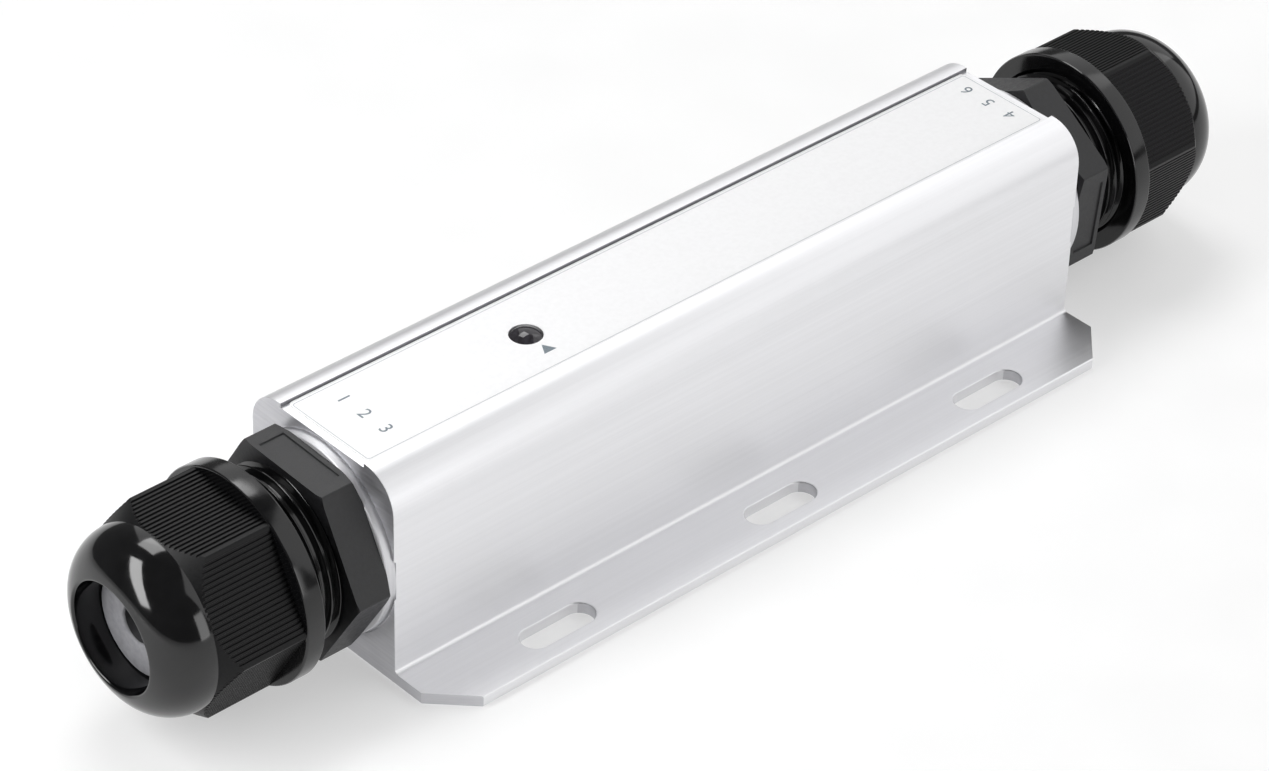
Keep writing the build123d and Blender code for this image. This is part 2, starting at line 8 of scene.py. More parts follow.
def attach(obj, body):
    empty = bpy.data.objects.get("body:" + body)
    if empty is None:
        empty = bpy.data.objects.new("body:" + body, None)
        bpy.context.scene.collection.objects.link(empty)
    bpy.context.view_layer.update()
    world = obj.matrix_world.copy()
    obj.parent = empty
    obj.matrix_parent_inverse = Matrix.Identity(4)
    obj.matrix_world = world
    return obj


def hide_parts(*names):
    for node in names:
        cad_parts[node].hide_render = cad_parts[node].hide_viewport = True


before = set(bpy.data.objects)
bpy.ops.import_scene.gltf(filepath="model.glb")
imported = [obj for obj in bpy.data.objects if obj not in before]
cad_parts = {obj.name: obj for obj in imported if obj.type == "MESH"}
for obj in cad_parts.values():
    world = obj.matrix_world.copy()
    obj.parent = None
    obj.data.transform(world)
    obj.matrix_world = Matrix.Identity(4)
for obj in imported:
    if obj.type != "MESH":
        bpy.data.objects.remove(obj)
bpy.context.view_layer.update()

# Housing
# One aluminium extrusion: a body with a label recess in its top and a slotted flange along one side.
# It is anodised clear, sawn to length, then bored, and a seat is turned round each gland hole.
LENGTH = 0.199
WIDTH = 0.045
HEIGHT = 0.051
SHOULDER_RADIUS = 0.00875
RECESS_WIDTH = 0.0264
RECESS_DEPTH = 0.001
RECESS_EDGE = 0.00015
FLANGE_REACH = 0.0172
FLANGE_THICKNESS = 0.0027
FLANGE_CORNER = 0.009
FLANGE_TOP_EDGE = 0.0004
FLANGE_FOOT_EDGE = 0.0002
FOLD_RADIUS = 0.001
FOOT_RADIUS = 0.0006
SLOT_LENGTH = 0.019
SLOT_WIDTH = 0.007
SLOT_PITCH = 0.064
SLOT_FROM_WALL = 0.0099
SLOT_EDGE = 0.0003
SAWN_EDGE = 0.00018
GLAND_HEIGHT = 0.0265
BORE_RADIUS = 0.0152
TAPPED_RADIUS = 0.01605
TAPPED_DEPTH = 0.013
SEAT_RADIUS = 0.023
SEAT_DEPTH = 0.0005
LENS_X = -0.045
LENS_HOLE_RADIUS = 0.0037
STEM_HOLE_RADIUS = 0.0026
LENS_STEP = 0.04785
EARTH_X = 0.008
EARTH_HOLE_RADIUS = 0.0021
COUNTERSINK_RADIUS = 0.0043
END_X = LENGTH / 2
WALL_Y = WIDTH / 2
RECESS_Y = RECESS_WIDTH / 2

# Points nearer than SAME_PLACE are one point, a solid round the glands' axis has FACETS sides, and a
# cutting tool reaches OVERCUT past the faces that it cuts.
SAME_PLACE = 1e-7
FACETS = 256
OVERCUT = 0.001


def linear(hex_colour):
    """An sRGB hex colour as the linear RGBA that a shader takes."""
    channels = [int(hex_colour[i:i + 2], 16) / 255 for i in (0, 2, 4)]
    return [c / 12.92 if c <= 0.04045 else ((c + 0.055) / 1.055) ** 2.4 for c in channels] + [1.0]


def add_node(tree, kind, inputs, **settings):
    """Adds a node; an input is a value, or the output socket of another node to link from."""
    node = tree.nodes.new(kind)
    for key, value in settings.items():
        setattr(node, key, value)
    for name, value in inputs.items():
        if isinstance(value, bpy.types.NodeSocket):
            tree.links.new(value, node.inputs[name])
        else:
            node.inputs[name].default_value = value
    return node


def new_material(name, **shader_values):
    """A material with its Principled shader set to even values, and the tree to draw its pattern in."""
    material = bpy.data.materials.new(name)
    material.use_nodes = True
    tree = material.node_tree
    shader = tree.nodes["Principled BSDF"]
    for socket, value in shader_values.items():
        shader.inputs[socket.replace("_", " ")].default_value = value
    return material, tree, shader


def grains(tree, millimetres, detail=2.0, turn=(0.0, 0.0, 0.0)):
    """Noise in object space whose grains measure so many millimetres along each axis."""
    coordinates = add_node(tree, "ShaderNodeTexCoord", {})
    per_metre = [1000 / size for size in millimetres]
    mapped = add_node(
        tree, "ShaderNodeMapping",
        {"Vector": coordinates.outputs["Object"], "Scale": per_metre, "Rotation": turn}, vector_type="POINT",
    )
    noise = add_node(
        tree, "ShaderNodeTexNoise",
        {"Vector": mapped.outputs["Vector"], "Scale": 1.0, "Detail": detail, "Roughness": 0.55},
    )
    return noise.outputs["Fac"]


def mean(tree, first, second, share):
    """Two patterns mixed into one, with the second one's share."""
    mixed = add_node(tree, "ShaderNodeMix", {0: share, 2: first, 3: second}, data_type="FLOAT")
    return mixed.outputs[0]


def tint(tree, shader, pattern, dark, light):
    """Colours a surface between two sRGB hex colours, as its pattern goes."""
    ramp = add_node(tree, "ShaderNodeValToRGB", {"Fac": pattern})
    ramp.color_ramp.elements[0].position = 0.3
    ramp.color_ramp.elements[0].color = linear(dark)
    ramp.color_ramp.elements[1].position = 0.7
    ramp.color_ramp.elements[1].color = linear(light)
    tree.links.new(ramp.outputs["Color"], shader.inputs["Base Color"])


def roughen(tree, shader, pattern, low, high):
    """Spreads a surface's roughness between two values, as its pattern goes."""
    spread = add_node(
        tree, "ShaderNodeMapRange",
        {"Value": pattern, "From Min": 0.3, "From Max": 0.7, "To Min": low, "To Max": high},
    )
    tree.links.new(spread.outputs["Result"], shader.inputs["Roughness"])


def relief(tree, shader, height, distance, strength=1.0):
    """Gives a surface its fine relief, with the height in metres."""
    bump = add_node(
        tree, "ShaderNodeBump", {"Height": height, "Distance": distance, "Strength": strength},
    )
    tree.links.new(bump.outputs["Normal"], shader.inputs["Normal"])


# Anodised extruded aluminium: a bright satin with die lines that run the whole length. Real lines are
# about 0.1 mm wide and the etched grit finer still; both are drawn coarser, to show at all.
anodised, tree, shader = new_material("anodised_aluminium", Metallic=1.0)
die_lines = grains(tree, (140, 0.67, 0.67), detail=3.0)
broad_bands = grains(tree, (500, 7.7, 7.7), detail=1.0)
grit = grains(tree, (0.38, 0.38, 0.38), detail=1.0)
lines = mean(tree, die_lines, broad_bands, 0.45)
tint(tree, shader, lines, "E6E6E8", "EEEEF0")
roughen(tree, shader, mean(tree, lines, grit, 0.4), 0.4, 0.5)
relief(tree, shader, mean(tree, die_lines, grit, 0.5), 0.000004)

# Sawn aluminium: duller, with the slanting marks that the blade left across the end. The marks are
# 0.6 mm apart, about a tooth's advance, and lie in patches where the bar chattered.
BLADE_TURN = (radians(-58), 0, 0)
sawn, tree, shader = new_material("sawn_aluminium", Metallic=1.0)
blade_marks = grains(tree, (1000, 11, 0.6), detail=3.0, turn=BLADE_TURN)
patches = grains(tree, (1000, 6.3, 3.3), detail=2.0, turn=BLADE_TURN)
marks = mean(tree, blade_marks, patches, 0.4)
tint(tree, shader, marks, "C2C2C6", "D8D8DB")
roughen(tree, shader, marks, 0.42, 0.6)
relief(tree, shader, blade_marks, 0.00002)

# Turned aluminium: rings round the glands' axis that catch the light in arcs, as a lathe leaves them.
# The tool's real feed is about 0.15 mm a turn, which is too fine to show, so they are drawn 0.7 mm apart.
FEED_MARKS = 0.7
turned, tree, shader = new_material("turned_aluminium", Metallic=1.0)
coordinates = add_node(tree, "ShaderNodeTexCoord", {})
centred = add_node(
    tree, "ShaderNodeMapping",
    {"Vector": coordinates.outputs["Object"], "Location": (0, 0, -GLAND_HEIGHT)}, vector_type="POINT",
)
across = add_node(
    tree, "ShaderNodeVectorMath", {0: centred.outputs["Vector"], 1: (0, 1, 1)}, operation="MULTIPLY",
)
from_axis = add_node(tree, "ShaderNodeVectorMath", {0: across.outputs["Vector"]}, operation="LENGTH")
along = add_node(tree, "ShaderNodeSeparateXYZ", {"Vector": centred.outputs["Vector"]})
ring_place = add_node(
    tree, "ShaderNodeCombineXYZ", {"X": from_axis.outputs["Value"], "Y": along.outputs["X"]},
)
ring_noise = add_node(
    tree, "ShaderNodeTexNoise",
    {"Vector": ring_place.outputs["Vector"], "Scale": 1000 / FEED_MARKS, "Detail": 3.0, "Roughness": 0.6},
)
rings = ring_noise.outputs["Fac"]
tint(tree, shader, rings, "CFCFD2", "E6E6E8")
roughen(tree, shader, rings, 0.5, 0.66)
relief(tree, shader, rings, 0.00003)

# Recess walls: the side walls of the recess are a darker aluminium, painted shade for the dark line by the
# label, where the gap beside the film lies in shade. It has streaks of about a millimetre along it.
recess_wall_shade, tree, shader = new_material("recess_wall_painted_shade", Metallic=1.0)
streaks = grains(tree, (25, 1.1, 1.1))
tint(tree, shader, streaks, "8A8A8E", "98989C")
roughen(tree, shader, streaks, 0.5, 0.6)


def draw_out(bm, way):
    """Extrudes a flat section into a solid, along a vector."""
    grown = bmesh.ops.extrude_face_region(bm, geom=bm.faces[:])["geom"]
    points = [g for g in grown if isinstance(g, bmesh.types.BMVert)]
    bmesh.ops.translate(bm, verts=points, vec=way)
    bmesh.ops.recalc_face_normals(bm, faces=bm.faces)


def rounded_plate(half_length, half_width, corner, segments, low, thickness):
    """A flat plate that lies level, with its corners rounded in plan."""
    bm = bmesh.new()
    plan = [
        bm.verts.new((x * half_length, y * half_width, low)) for x, y in ((-1, -1), (1, -1), (1, 1), (-1, 1))
    ]
    bm.faces.new(plan)
    bmesh.ops.bevel(
        bm, geom=plan, offset=corner, offset_type="OFFSET", segments=segments, profile=0.5,
        affect="VERTICES", material=-1, clamp_overlap=False,
    )
    bmesh.ops.remove_doubles(bm, verts=bm.verts, dist=1e-5)
    draw_out(bm, (0, 0, thickness))
    return bm


def turned_solid(points, axis_point, axis, steps):
    """A closed outline turned round an axis into a solid."""
    bm = bmesh.new()
    corners = [bm.verts.new(point) for point in points]
    sides = [bm.edges.new(pair) for pair in zip(corners, corners[1:] + corners[:1])]
    bmesh.ops.spin(
        bm, geom=corners + sides, cent=axis_point, axis=axis, dvec=(0, 0, 0), angle=tau, steps=steps,
        use_merge=True, use_normal_flip=False, use_duplicate=False,
    )
    bmesh.ops.remove_doubles(bm, verts=bm.verts, dist=SAME_PLACE)
    loose = [e for e in bm.edges if not e.link_faces]
    bmesh.ops.delete(bm, geom=loose, context="EDGES")
    bmesh.ops.recalc_face_normals(bm, faces=bm.faces)
    return bm


def spun(outline, end, steps=FACETS, start=0.0):
    """Solid round the glands' axis, from an outline of (distance from the end face, radius)."""
    points = [
        (end * (END_X + out), radius * sin(start), GLAND_HEIGHT + radius * cos(start))
        for out, radius in outline
    ]
    return turned_solid(points, (0, 0, GLAND_HEIGHT), (1, 0, 0), steps)


def upright_rod(x, outline):
    """Solid round a vertical axis in the middle plane, from an outline of (radius, height)."""
    points = [(x + radius, 0, height) for radius, height in outline]
    return turned_solid(points, (x, 0, 0), (0, 0, 1), 96)


def weld(bm):
    """Merges points that lie on each other, and drops the edges and faces that this leaves empty."""
    bmesh.ops.remove_doubles(bm, verts=bm.verts, dist=SAME_PLACE)
    bmesh.ops.dissolve_degenerate(bm, edges=bm.edges, dist=SAME_PLACE)


def shade(bm, sharp_angle=30.0):
    """Shades a mesh smooth where it curves, and sharp where its faces meet at more than an angle."""
    bm.normal_update()
    for edge in bm.edges:
        edge.smooth = edge.calc_face_angle(pi) < radians(sharp_angle)
    for face in bm.faces:
        face.smooth = True


def piece_from(bm, name, materials, sharp_angle=30.0):
    """Makes a mesh an object, shaded and with its materials."""
    shade(bm, sharp_angle)
    mesh = bpy.data.meshes.new(name)
    bm.to_mesh(mesh)
    bm.free()
    for material in materials:
        mesh.materials.append(material)
    piece = bpy.data.objects.new(name, mesh)
    bpy.context.collection.objects.link(piece)
    return piece


def combine(piece, tool_bm, operation):
    """Cuts a solid, joins it to another or keeps their common part, and welds what is left at the cut."""
    tool = piece_from(tool_bm, "tool", piece.data.materials)
    modifier = piece.modifiers.new("combine", "BOOLEAN")
    modifier.operation = operation
    modifier.solver = "EXACT"
    modifier.object = tool
    bpy.context.view_layer.update()
    graph = bpy.context.evaluated_depsgraph_get()
    made = bpy.data.meshes.new_from_object(piece.evaluated_get(graph))
    piece.modifiers.clear()
    bm = bmesh.new()
    bm.from_mesh(made)
    weld(bm)
    bm.to_mesh(made)
    bm.free()
    piece.data = made
    bpy.data.objects.remove(tool)


def refine(piece):
    """Welds and shades a combined mesh once more, with its flat faces flat up to their edges."""
    bm = bmesh.new()
    bm.from_mesh(piece.data)
    weld(bm)
    shade(bm)
    bm.to_mesh(piece.data)
    bm.free()
    weighted = piece.modifiers.new("flat_faces", "WEIGHTED_NORMAL")
    weighted.keep_sharp = True
    weighted.weight = 80


def declare(piece, body, slot, *nodes):
    """Attaches a piece to the body that it rides on, and hides the nodes that it stands for. The slot is not
    used.
    """
    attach(piece, body)
    if nodes:
        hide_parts(*nodes)


# Section of the extrusion, its corners rounded before it is drawn out along X.
bm = bmesh.new()
flange_edge = -WALL_Y - FLANGE_REACH
corners = [
    (WALL_Y, 0, FOOT_RADIUS), (WALL_Y, HEIGHT, SHOULDER_RADIUS),
    (RECESS_Y, HEIGHT, RECESS_EDGE), (RECESS_Y, HEIGHT - RECESS_DEPTH, 0),
    (-RECESS_Y, HEIGHT - RECESS_DEPTH, 0), (-RECESS_Y, HEIGHT, RECESS_EDGE),
    (-WALL_Y, HEIGHT, SHOULDER_RADIUS), (-WALL_Y, FLANGE_THICKNESS, FOLD_RADIUS),
    (flange_edge, FLANGE_THICKNESS, FLANGE_TOP_EDGE), (flange_edge, 0, FLANGE_FOOT_EDGE),
]
section = [bm.verts.new((-END_X, y, z)) for y, z, radius in corners]
bm.faces.new(section)
for point, (y, z, radius) in zip(section, corners):
    if radius:
        bmesh.ops.bevel(
            bm, geom=[point], offset=radius, offset_type="OFFSET",
            segments=14 if radius == SHOULDER_RADIUS else 4, profile=0.5, affect="VERTICES", material=-1,
            clamp_overlap=False,
        )
draw_out(bm, (LENGTH, 0, 0))

# Cut corners of the flange at both ends.
for end in (-1, 1):
    bmesh.ops.bisect_plane(
        bm, geom=bm.verts[:] + bm.edges[:] + bm.faces[:], dist=SAME_PLACE,
        plane_co=(end * END_X, flange_edge + FLANGE_CORNER, 0), plane_no=(end, -1, 0), clear_outer=True,
    )
    bmesh.ops.holes_fill(bm, edges=[e for e in bm.edges if e.is_boundary], sides=0)
bmesh.ops.recalc_face_normals(bm, faces=bm.faces)

# A fine broken edge all round each sawn end.
sawn_rim = [
    e for e in bm.edges
    if len(e.link_faces) == 2 and all(abs(abs(v.co.x) - END_X) < 1e-6 for v in e.verts)
    and sum(abs(f.normal.x) > 0.5 and f.calc_area() > 1e-5 for f in e.link_faces) == 1
]
bmesh.ops.bevel(
    bm, geom=sawn_rim, offset=SAWN_EDGE, offset_type="OFFSET", segments=2, profile=0.5,
    affect="EDGES", material=-1, clamp_overlap=True,
)
housing = piece_from(bm, "housing_extrusion", [anodised, sawn, turned, recess_wall_shade])

# Bore from end to end, a wider tapped length and a shallow seat at each end.
bore = spun([
    (OVERCUT, 0), (OVERCUT, SEAT_RADIUS), (-SEAT_DEPTH, SEAT_RADIUS), (-SEAT_DEPTH, TAPPED_RADIUS),
    (-TAPPED_DEPTH, TAPPED_RADIUS), (-TAPPED_DEPTH, BORE_RADIUS), (TAPPED_DEPTH - LENGTH, BORE_RADIUS),
    (TAPPED_DEPTH - LENGTH, TAPPED_RADIUS), (SEAT_DEPTH - LENGTH, TAPPED_RADIUS),
    (SEAT_DEPTH - LENGTH, SEAT_RADIUS), (-OVERCUT - LENGTH, SEAT_RADIUS), (-OVERCUT - LENGTH, 0),
], 1)
combine(housing, bore, "DIFFERENCE")

# Three slots in the flange. Their rounds fall just short of half the width, so that no side of the
# plate that cuts them is left without length.
for i in (-1, 0, 1):
    slot = rounded_plate(
        SLOT_LENGTH / 2, SLOT_WIDTH / 2, SLOT_WIDTH / 2 - 1e-6, 20, -OVERCUT, FLANGE_THICKNESS + 2 * OVERCUT,
    )
    bmesh.ops.translate(slot, verts=slot.verts, vec=(i * SLOT_PITCH, -WALL_Y - SLOT_FROM_WALL, 0))
    combine(housing, slot, "DIFFERENCE")

# Stepped hole for the indicator and countersunk hole for the earth screw, both as far as the bore.
lens_hole = upright_rod(LENS_X, [
    (0, HEIGHT + OVERCUT), (LENS_HOLE_RADIUS, HEIGHT + OVERCUT), (LENS_HOLE_RADIUS, LENS_STEP),
    (STEM_HOLE_RADIUS, LENS_STEP), (STEM_HOLE_RADIUS, GLAND_HEIGHT), (0, GLAND_HEIGHT),
])
combine(housing, lens_hole, "DIFFERENCE")
earth_hole = upright_rod(EARTH_X, [
    (0, -OVERCUT), (COUNTERSINK_RADIUS + OVERCUT, -OVERCUT),
    (EARTH_HOLE_RADIUS, COUNTERSINK_RADIUS - EARTH_HOLE_RADIUS), (EARTH_HOLE_RADIUS, GLAND_HEIGHT),
    (0, GLAND_HEIGHT),
])
combine(housing, earth_hole, "DIFFERENCE")

# The slots' top rims are broken, and each face gets the finish of the tool that made it.
bm = bmesh.new()
bm.from_mesh(housing.data)
bmesh.ops.remove_doubles(bm, verts=bm.verts, dist=SAME_PLACE)
bm.normal_update()
slot_rim = [
    e for e in bm.edges
    if all(
        abs(v.co.z - FLANGE_THICKNESS) < 1e-6
        and abs(v.co.y + WALL_Y + SLOT_FROM_WALL) < SLOT_WIDTH / 2 + 1e-5 for v in e.verts
    )
    and len(e.link_faces) == 2 and e.calc_face_angle(0) > radians(60)
]
bmesh.ops.bevel(
    bm, geom=slot_rim, offset=SLOT_EDGE, offset_type="OFFSET", segments=3, profile=0.5,
    affect="EDGES", material=-1, clamp_overlap=False,
)
bm.normal_update()
for face in bm.faces:
    middle = face.calc_center_median()
    from_axis = sqrt(middle.y ** 2 + (middle.z - GLAND_HEIGHT) ** 2)
    inward = END_X - abs(middle.x)
    if from_axis < SEAT_RADIUS + 0.00002 and 0.0001 < inward < TAPPED_DEPTH + 0.0001:
        face.material_index = 2
    elif abs(face.normal.x) > 0.6:
        face.material_index = 1
    # The recess's side walls take the painted shade of the dark line by the label.
    elif abs(abs(middle.y) - RECESS_Y) < 1e-5 and abs(face.normal.y) > 0.9:
        face.material_index = 3
    else:
        face.material_index = 0
bm.to_mesh(housing.data)
bm.free()
refine(housing)
declare(housing, "housing", "housing_metal", "housing")

# Label
# A white polyester film, stuck down in the recess, with rounded corners and a hole round the indicator.
# It carries only small plain marks: three pole numbers at each end and a pointer beside the indicator.
LABEL_FROM_END = 0.0018
LABEL_MARGIN = 0.00015
LABEL_CORNER = 0.0011
LABEL_THICKNESS = 0.00025
BORDER_INSET = 0.0003
BORDER_SIDE_INSET = 0.00085
BORDER_WIDTH = 0.00022
INK_THICKNESS = 0.00002
NUMBER_SIZE = 0.0044
POLE_PITCH = 0.0067
POINTER_RADIUS = 0.0019
POINTER_Y = -0.0068
RECESS_FLOOR = HEIGHT - RECESS_DEPTH
LABEL_TOP = RECESS_FLOOR + LABEL_THICKNESS

# Polyester film: an even white with a soft sheen. The film is faintly wavy, over about a millimetre.
film, tree, shader = new_material("white_polyester_film", IOR=1.6)
waves = grains(tree, (1.1, 1.1, 1.1), detail=1.0)
tint(tree, shader, waves, "F6F6F7", "FAFAFB")
roughen(tree, shader, waves, 0.32, 0.42)


def printing_ink(name, dark, light):
    """Matt ink, uneven over the 0.25 mm mesh that it was screened through; the same finish serves the painted
    shade line.
    """
    material, tree, shader = new_material(name, IOR=1.5)
    spots = grains(tree, (0.25, 0.25, 0.25), detail=1.0)
    tint(tree, shader, spots, dark, light)
    roughen(tree, shader, spots, 0.5, 0.65)
    return material


# The marks are a bluish grey ink. The fine pale grey line round the label's edge, in the same finish, is
# painted shade for the shaded edge of the film and of the recess lip beside it.
ink = printing_ink("grey_printing_ink", "66717A", "828D95")
label_edge_shade = printing_ink("label_edge_painted_shade", "B9BDC2", "CDD0D3")

bm = rounded_plate(
    END_X - LABEL_FROM_END, RECESS_Y - LABEL_MARGIN, LABEL_CORNER, 8, RECESS_FLOOR, LABEL_THICKNESS,
)
printed_face = max(bm.faces, key=lambda face: face.calc_center_median().z)
bmesh.ops.inset_region(bm, faces=[printed_face], thickness=BORDER_INSET, depth=0)
for point in printed_face.verts:
    point.co.y -= copysign(BORDER_SIDE_INSET - BORDER_INSET, point.co.y)
# The pale line that this inset leaves is painted shade along the label's edge.
border = bmesh.ops.inset_region(bm, faces=[printed_face], thickness=BORDER_WIDTH, depth=0)["faces"]
for face in border:
    face.material_index = 1
label = piece_from(bm, "label_film", [film, label_edge_shade])
label_hole = upright_rod(LENS_X, [
    (0, RECESS_FLOOR - OVERCUT), (LENS_HOLE_RADIUS, RECESS_FLOOR - OVERCUT),
    (LENS_HOLE_RADIUS, HEIGHT + OVERCUT), (0, HEIGHT + OVERCUT),
])
combine(label, label_hole, "DIFFERENCE")
refine(label)
declare(label, "housing", "label_film", "label")

# Pole numbers, three in a row at each end and read from there. A row has its place along the label,
# the place of its middle number across it, and its turn.
number_rows = {"output": (-0.0881, 0.0003, -1), "input": (0.0935, 0.0005, 1)}
for number in range(1, 7):
    side = "output" if number <= 3 else "input"
    x, row_middle, turn = number_rows[side]
    y = row_middle + turn * ((number - 1) % 3 - 1) * POLE_PITCH
    name = f"{side}_pole_{number}"
    text = bpy.data.curves.new(name, "FONT")
    text.body = str(number)
    text.size = NUMBER_SIZE
    text.align_x = "CENTER"
    text.align_y = "CENTER"
    text.extrude = INK_THICKNESS / 2
    flat = bpy.data.objects.new(name, text)
    bpy.context.collection.objects.link(flat)
    bpy.context.view_layer.update()
    mesh = bpy.data.meshes.new_from_object(flat.evaluated_get(bpy.context.evaluated_depsgraph_get()))
    bpy.data.objects.remove(flat)
    place = Matrix.Translation((x, y, LABEL_TOP + INK_THICKNESS / 2))
    bm = bmesh.new()
    bm.from_mesh(mesh)
    bmesh.ops.transform(bm, matrix=place @ Matrix.Rotation(turn * pi / 2, 4, "Z"), verts=bm.verts)
    bmesh.ops.remove_doubles(bm, verts=bm.verts, dist=1e-6)
    bmesh.ops.recalc_face_normals(bm, faces=bm.faces)
    declare(piece_from(bm, name, [ink]), "housing", "label_film")

# Pointer beside the indicator: a plain solid triangle.
bm = bmesh.new()
bmesh.ops.create_circle(bm, cap_ends=True, cap_tris=False, segments=3, radius=POINTER_RADIUS)
draw_out(bm, (0, 0, INK_THICKNESS))
bmesh.ops.translate(bm, verts=bm.verts, vec=(LENS_X, POINTER_Y, LABEL_TOP))
declare(piece_from(bm, "indicator_pointer", [ink]), "housing", "label_film")

# Indicator lens
# A smoked acrylic dome on a stem that carries the light up from the board. It is pressed into its hole
# from above, over a thin rubber gasket.
LENS_RADIUS = 0.0036
LENS_DOME = 0.0013
LENS_BACK = 0.04885
LENS_STEM_RADIUS = 0.0025
LENS_STEM_END = 0.0313

# Smoked acrylic: almost black from above, and polished, so that it mirrors the lamps. The smoke in it
# is mixed evenly, to within spots of 0.8 mm.
smoked, tree, shader = new_material("smoked_acrylic", IOR=1.49)
smoke = grains(tree, (0.8, 0.8, 0.8), detail=1.0)
tint(tree, shader, smoke, "2A282B", "37353A")
roughen(tree, shader, smoke, 0.04, 0.07)

dome_radius = (LENS_RADIUS ** 2 + LENS_DOME ** 2) / (2 * LENS_DOME)
dome_centre = RECESS_FLOOR + LENS_DOME - dome_radius
dome_points = []
for i in range(17):
    radius = LENS_RADIUS * i / 16
    dome_points.append((radius, dome_centre + sqrt(dome_radius ** 2 - radius ** 2)))
lens = upright_rod(LENS_X, dome_points + [
    (LENS_RADIUS, LENS_BACK), (LENS_STEM_RADIUS, LENS_BACK), (LENS_STEM_RADIUS, LENS_STEM_END),
    (0, LENS_STEM_END),
])
declare(piece_from(lens, "lens", [smoked]), "housing", "lens_plastic", "indicator_lens")

# Seat rings
# Each gland tightens against a bright ring, turned from aluminium bar with its corners broken. The ring
# spreads the pressure and lies in the seat that is turned in the end of the housing.
ENDS = {"output": -1, "input": 1}
RING_RADIUS = 0.0225
RING_HOLE_RADIUS = 0.0163
RING_FRONT = 0.002

for side, end in ENDS.items():
    ring = spun([
        (-SEAT_DEPTH, RING_HOLE_RADIUS), (-SEAT_DEPTH, RING_RADIUS), (RING_FRONT - 0.0003, RING_RADIUS),
        (RING_FRONT - 0.0002, RING_RADIUS - 0.00004), (RING_FRONT - 0.00005, RING_RADIUS - 0.0002),
        (RING_FRONT, RING_RADIUS - 0.0003), (RING_FRONT, RING_HOLE_RADIUS),
    ], end)
    ring = piece_from(ring, f"{side}_turned_ring", [turned], 50.0)
    declare(ring, "housing", "ring_metal", f"{side}_seat_ring")

# Gland bodies
# A hexagon with a threaded neck in front and a stem behind, left plain, moulded in one in black polyamide.
# The stem screws into the housing until the hexagon sits on its ring.
HEX_BACK = RING_FRONT
HEX_FRONT = 0.0108
BODY_FLATS = 0.0427
BODY_CORNER_ROUND = 0.0006
NECK_END = 0.027
NECK_CREST = 0.0198
NECK_ROOT = 0.0186
NECK_CHAMFER = 0.0012
THREAD_LEAD = 0.00235
THREAD_STEPS = 180
THREAD_TURNS = 10
BACK_CORNER_CUT = 0.00075
FRONT_CORNER_CUT = 0.00035
CORNER_CUT_SLOPE = 2.48
STEM_RADIUS = 0.016
STEM_LENGTH = 0.012
STEM_CHAMFER = 0.0008
BODY_BORE_RADIUS = 0.013
CAGE_CONE_RADIUS = 0.0167
CAGE_CONE_BACK = 0.0135
CAGE_CONE_FRONT = 0.0205
POCKET_RADIUS = 0.0188
POCKET_FLOOR = 0.004
PANEL_HALF_SIZE = (0.003, 0.00875)
PANEL_DEPTH = 0.00035
PANEL_SLANT = 0.00025
HEX_CORNER_RADIUS = BODY_FLATS / sqrt(3)
NECK_START = HEX_FRONT - 0.0005
STEM_FRONT = POCKET_FLOOR + 0.002
THREAD_START = HEX_FRONT - 0.0013 - THREAD_LEAD
TOOTH = [
    (0.0, NECK_ROOT), (0.00045, NECK_ROOT), (0.00105, NECK_CREST - 0.0001), (0.0012, NECK_CREST),
    (0.0014, NECK_CREST), (0.00155, NECK_CREST - 0.0001), (0.00215, NECK_ROOT),
]
body_corner_angle = {"output": 2.0, "input": 34.5}
panel_flat_angle = {"output": 0.0, "input": 60.0}


def moulded_gloss(name, refraction, low, high):
    """Black polyamide from a smooth mould: flow lines about 4 mm apart waver its reflections a little."""
    material, tree, shader = new_material(name, IOR=refraction)
    flow = grains(tree, (3.8, 3.8, 3.8))
    tint(tree, shader, flow, "0A0A0B", "101011")
    roughen(tree, shader, flow, low, high)
    relief(tree, shader, flow, 0.00002, 0.5)
    return material


# Polished black polyamide: the mould was polished for the threads and the domes, which mirror the lamps.
glossy_nylon = moulded_gloss("glossy_polyamide", 1.53, 0.07, 0.13)

# Satin black polyamide: the hexagons came from a spark-eroded mould, so they are softly mottled. Its
# craters are under 0.1 mm; they are drawn at 0.3 mm, and the mottling over them at 1.1 mm.
satin_nylon, tree, shader = new_material("satin_polyamide", IOR=1.5)
mottle = grains(tree, (1.1, 1.1, 1.1), detail=3.0)
craters = grains(tree, (0.31, 0.31, 0.31), detail=1.0)
speckle = mean(tree, mottle, craters, 0.4)
tint(tree, shader, mottle, "111112", "1F1F22")
roughen(tree, shader, speckle, 0.36, 0.56)
relief(tree, shader, speckle, 0.00003)


def hexagon_bar(end, start, length, flats, corner_angle, corner_round, grooves=()):
    """Hexagonal bar along X with rounded corners; grooves are (place along a flat, depth) points."""
    bm = bmesh.new()
    flat_end = flats / sqrt(3) / 2 - corner_round * sqrt(3) / 3
    run = [(-flat_end, 0.0), *grooves, (flat_end, 0.0)]
    points = []
    for k in range(6):
        facing = radians(corner_angle + 30 + 60 * k)
        for along, depth in run:
            out = flats / 2 - depth
            points.append((out * cos(facing) - along * sin(facing), out * sin(facing) + along * cos(facing)))
        corner = radians(corner_angle + 60 + 60 * k)
        middle = flats / sqrt(3) - corner_round * 2 / sqrt(3)
        for turn in (-15, 0, 15):
            points.append((
                middle * cos(corner) + corner_round * cos(corner + radians(turn)),
                middle * sin(corner) + corner_round * sin(corner + radians(turn)),
            ))
    bm.faces.new([bm.verts.new((end * (END_X + start), y, GLAND_HEIGHT + z)) for y, z in points])
    draw_out(bm, (end * length, 0, 0))
    return bm


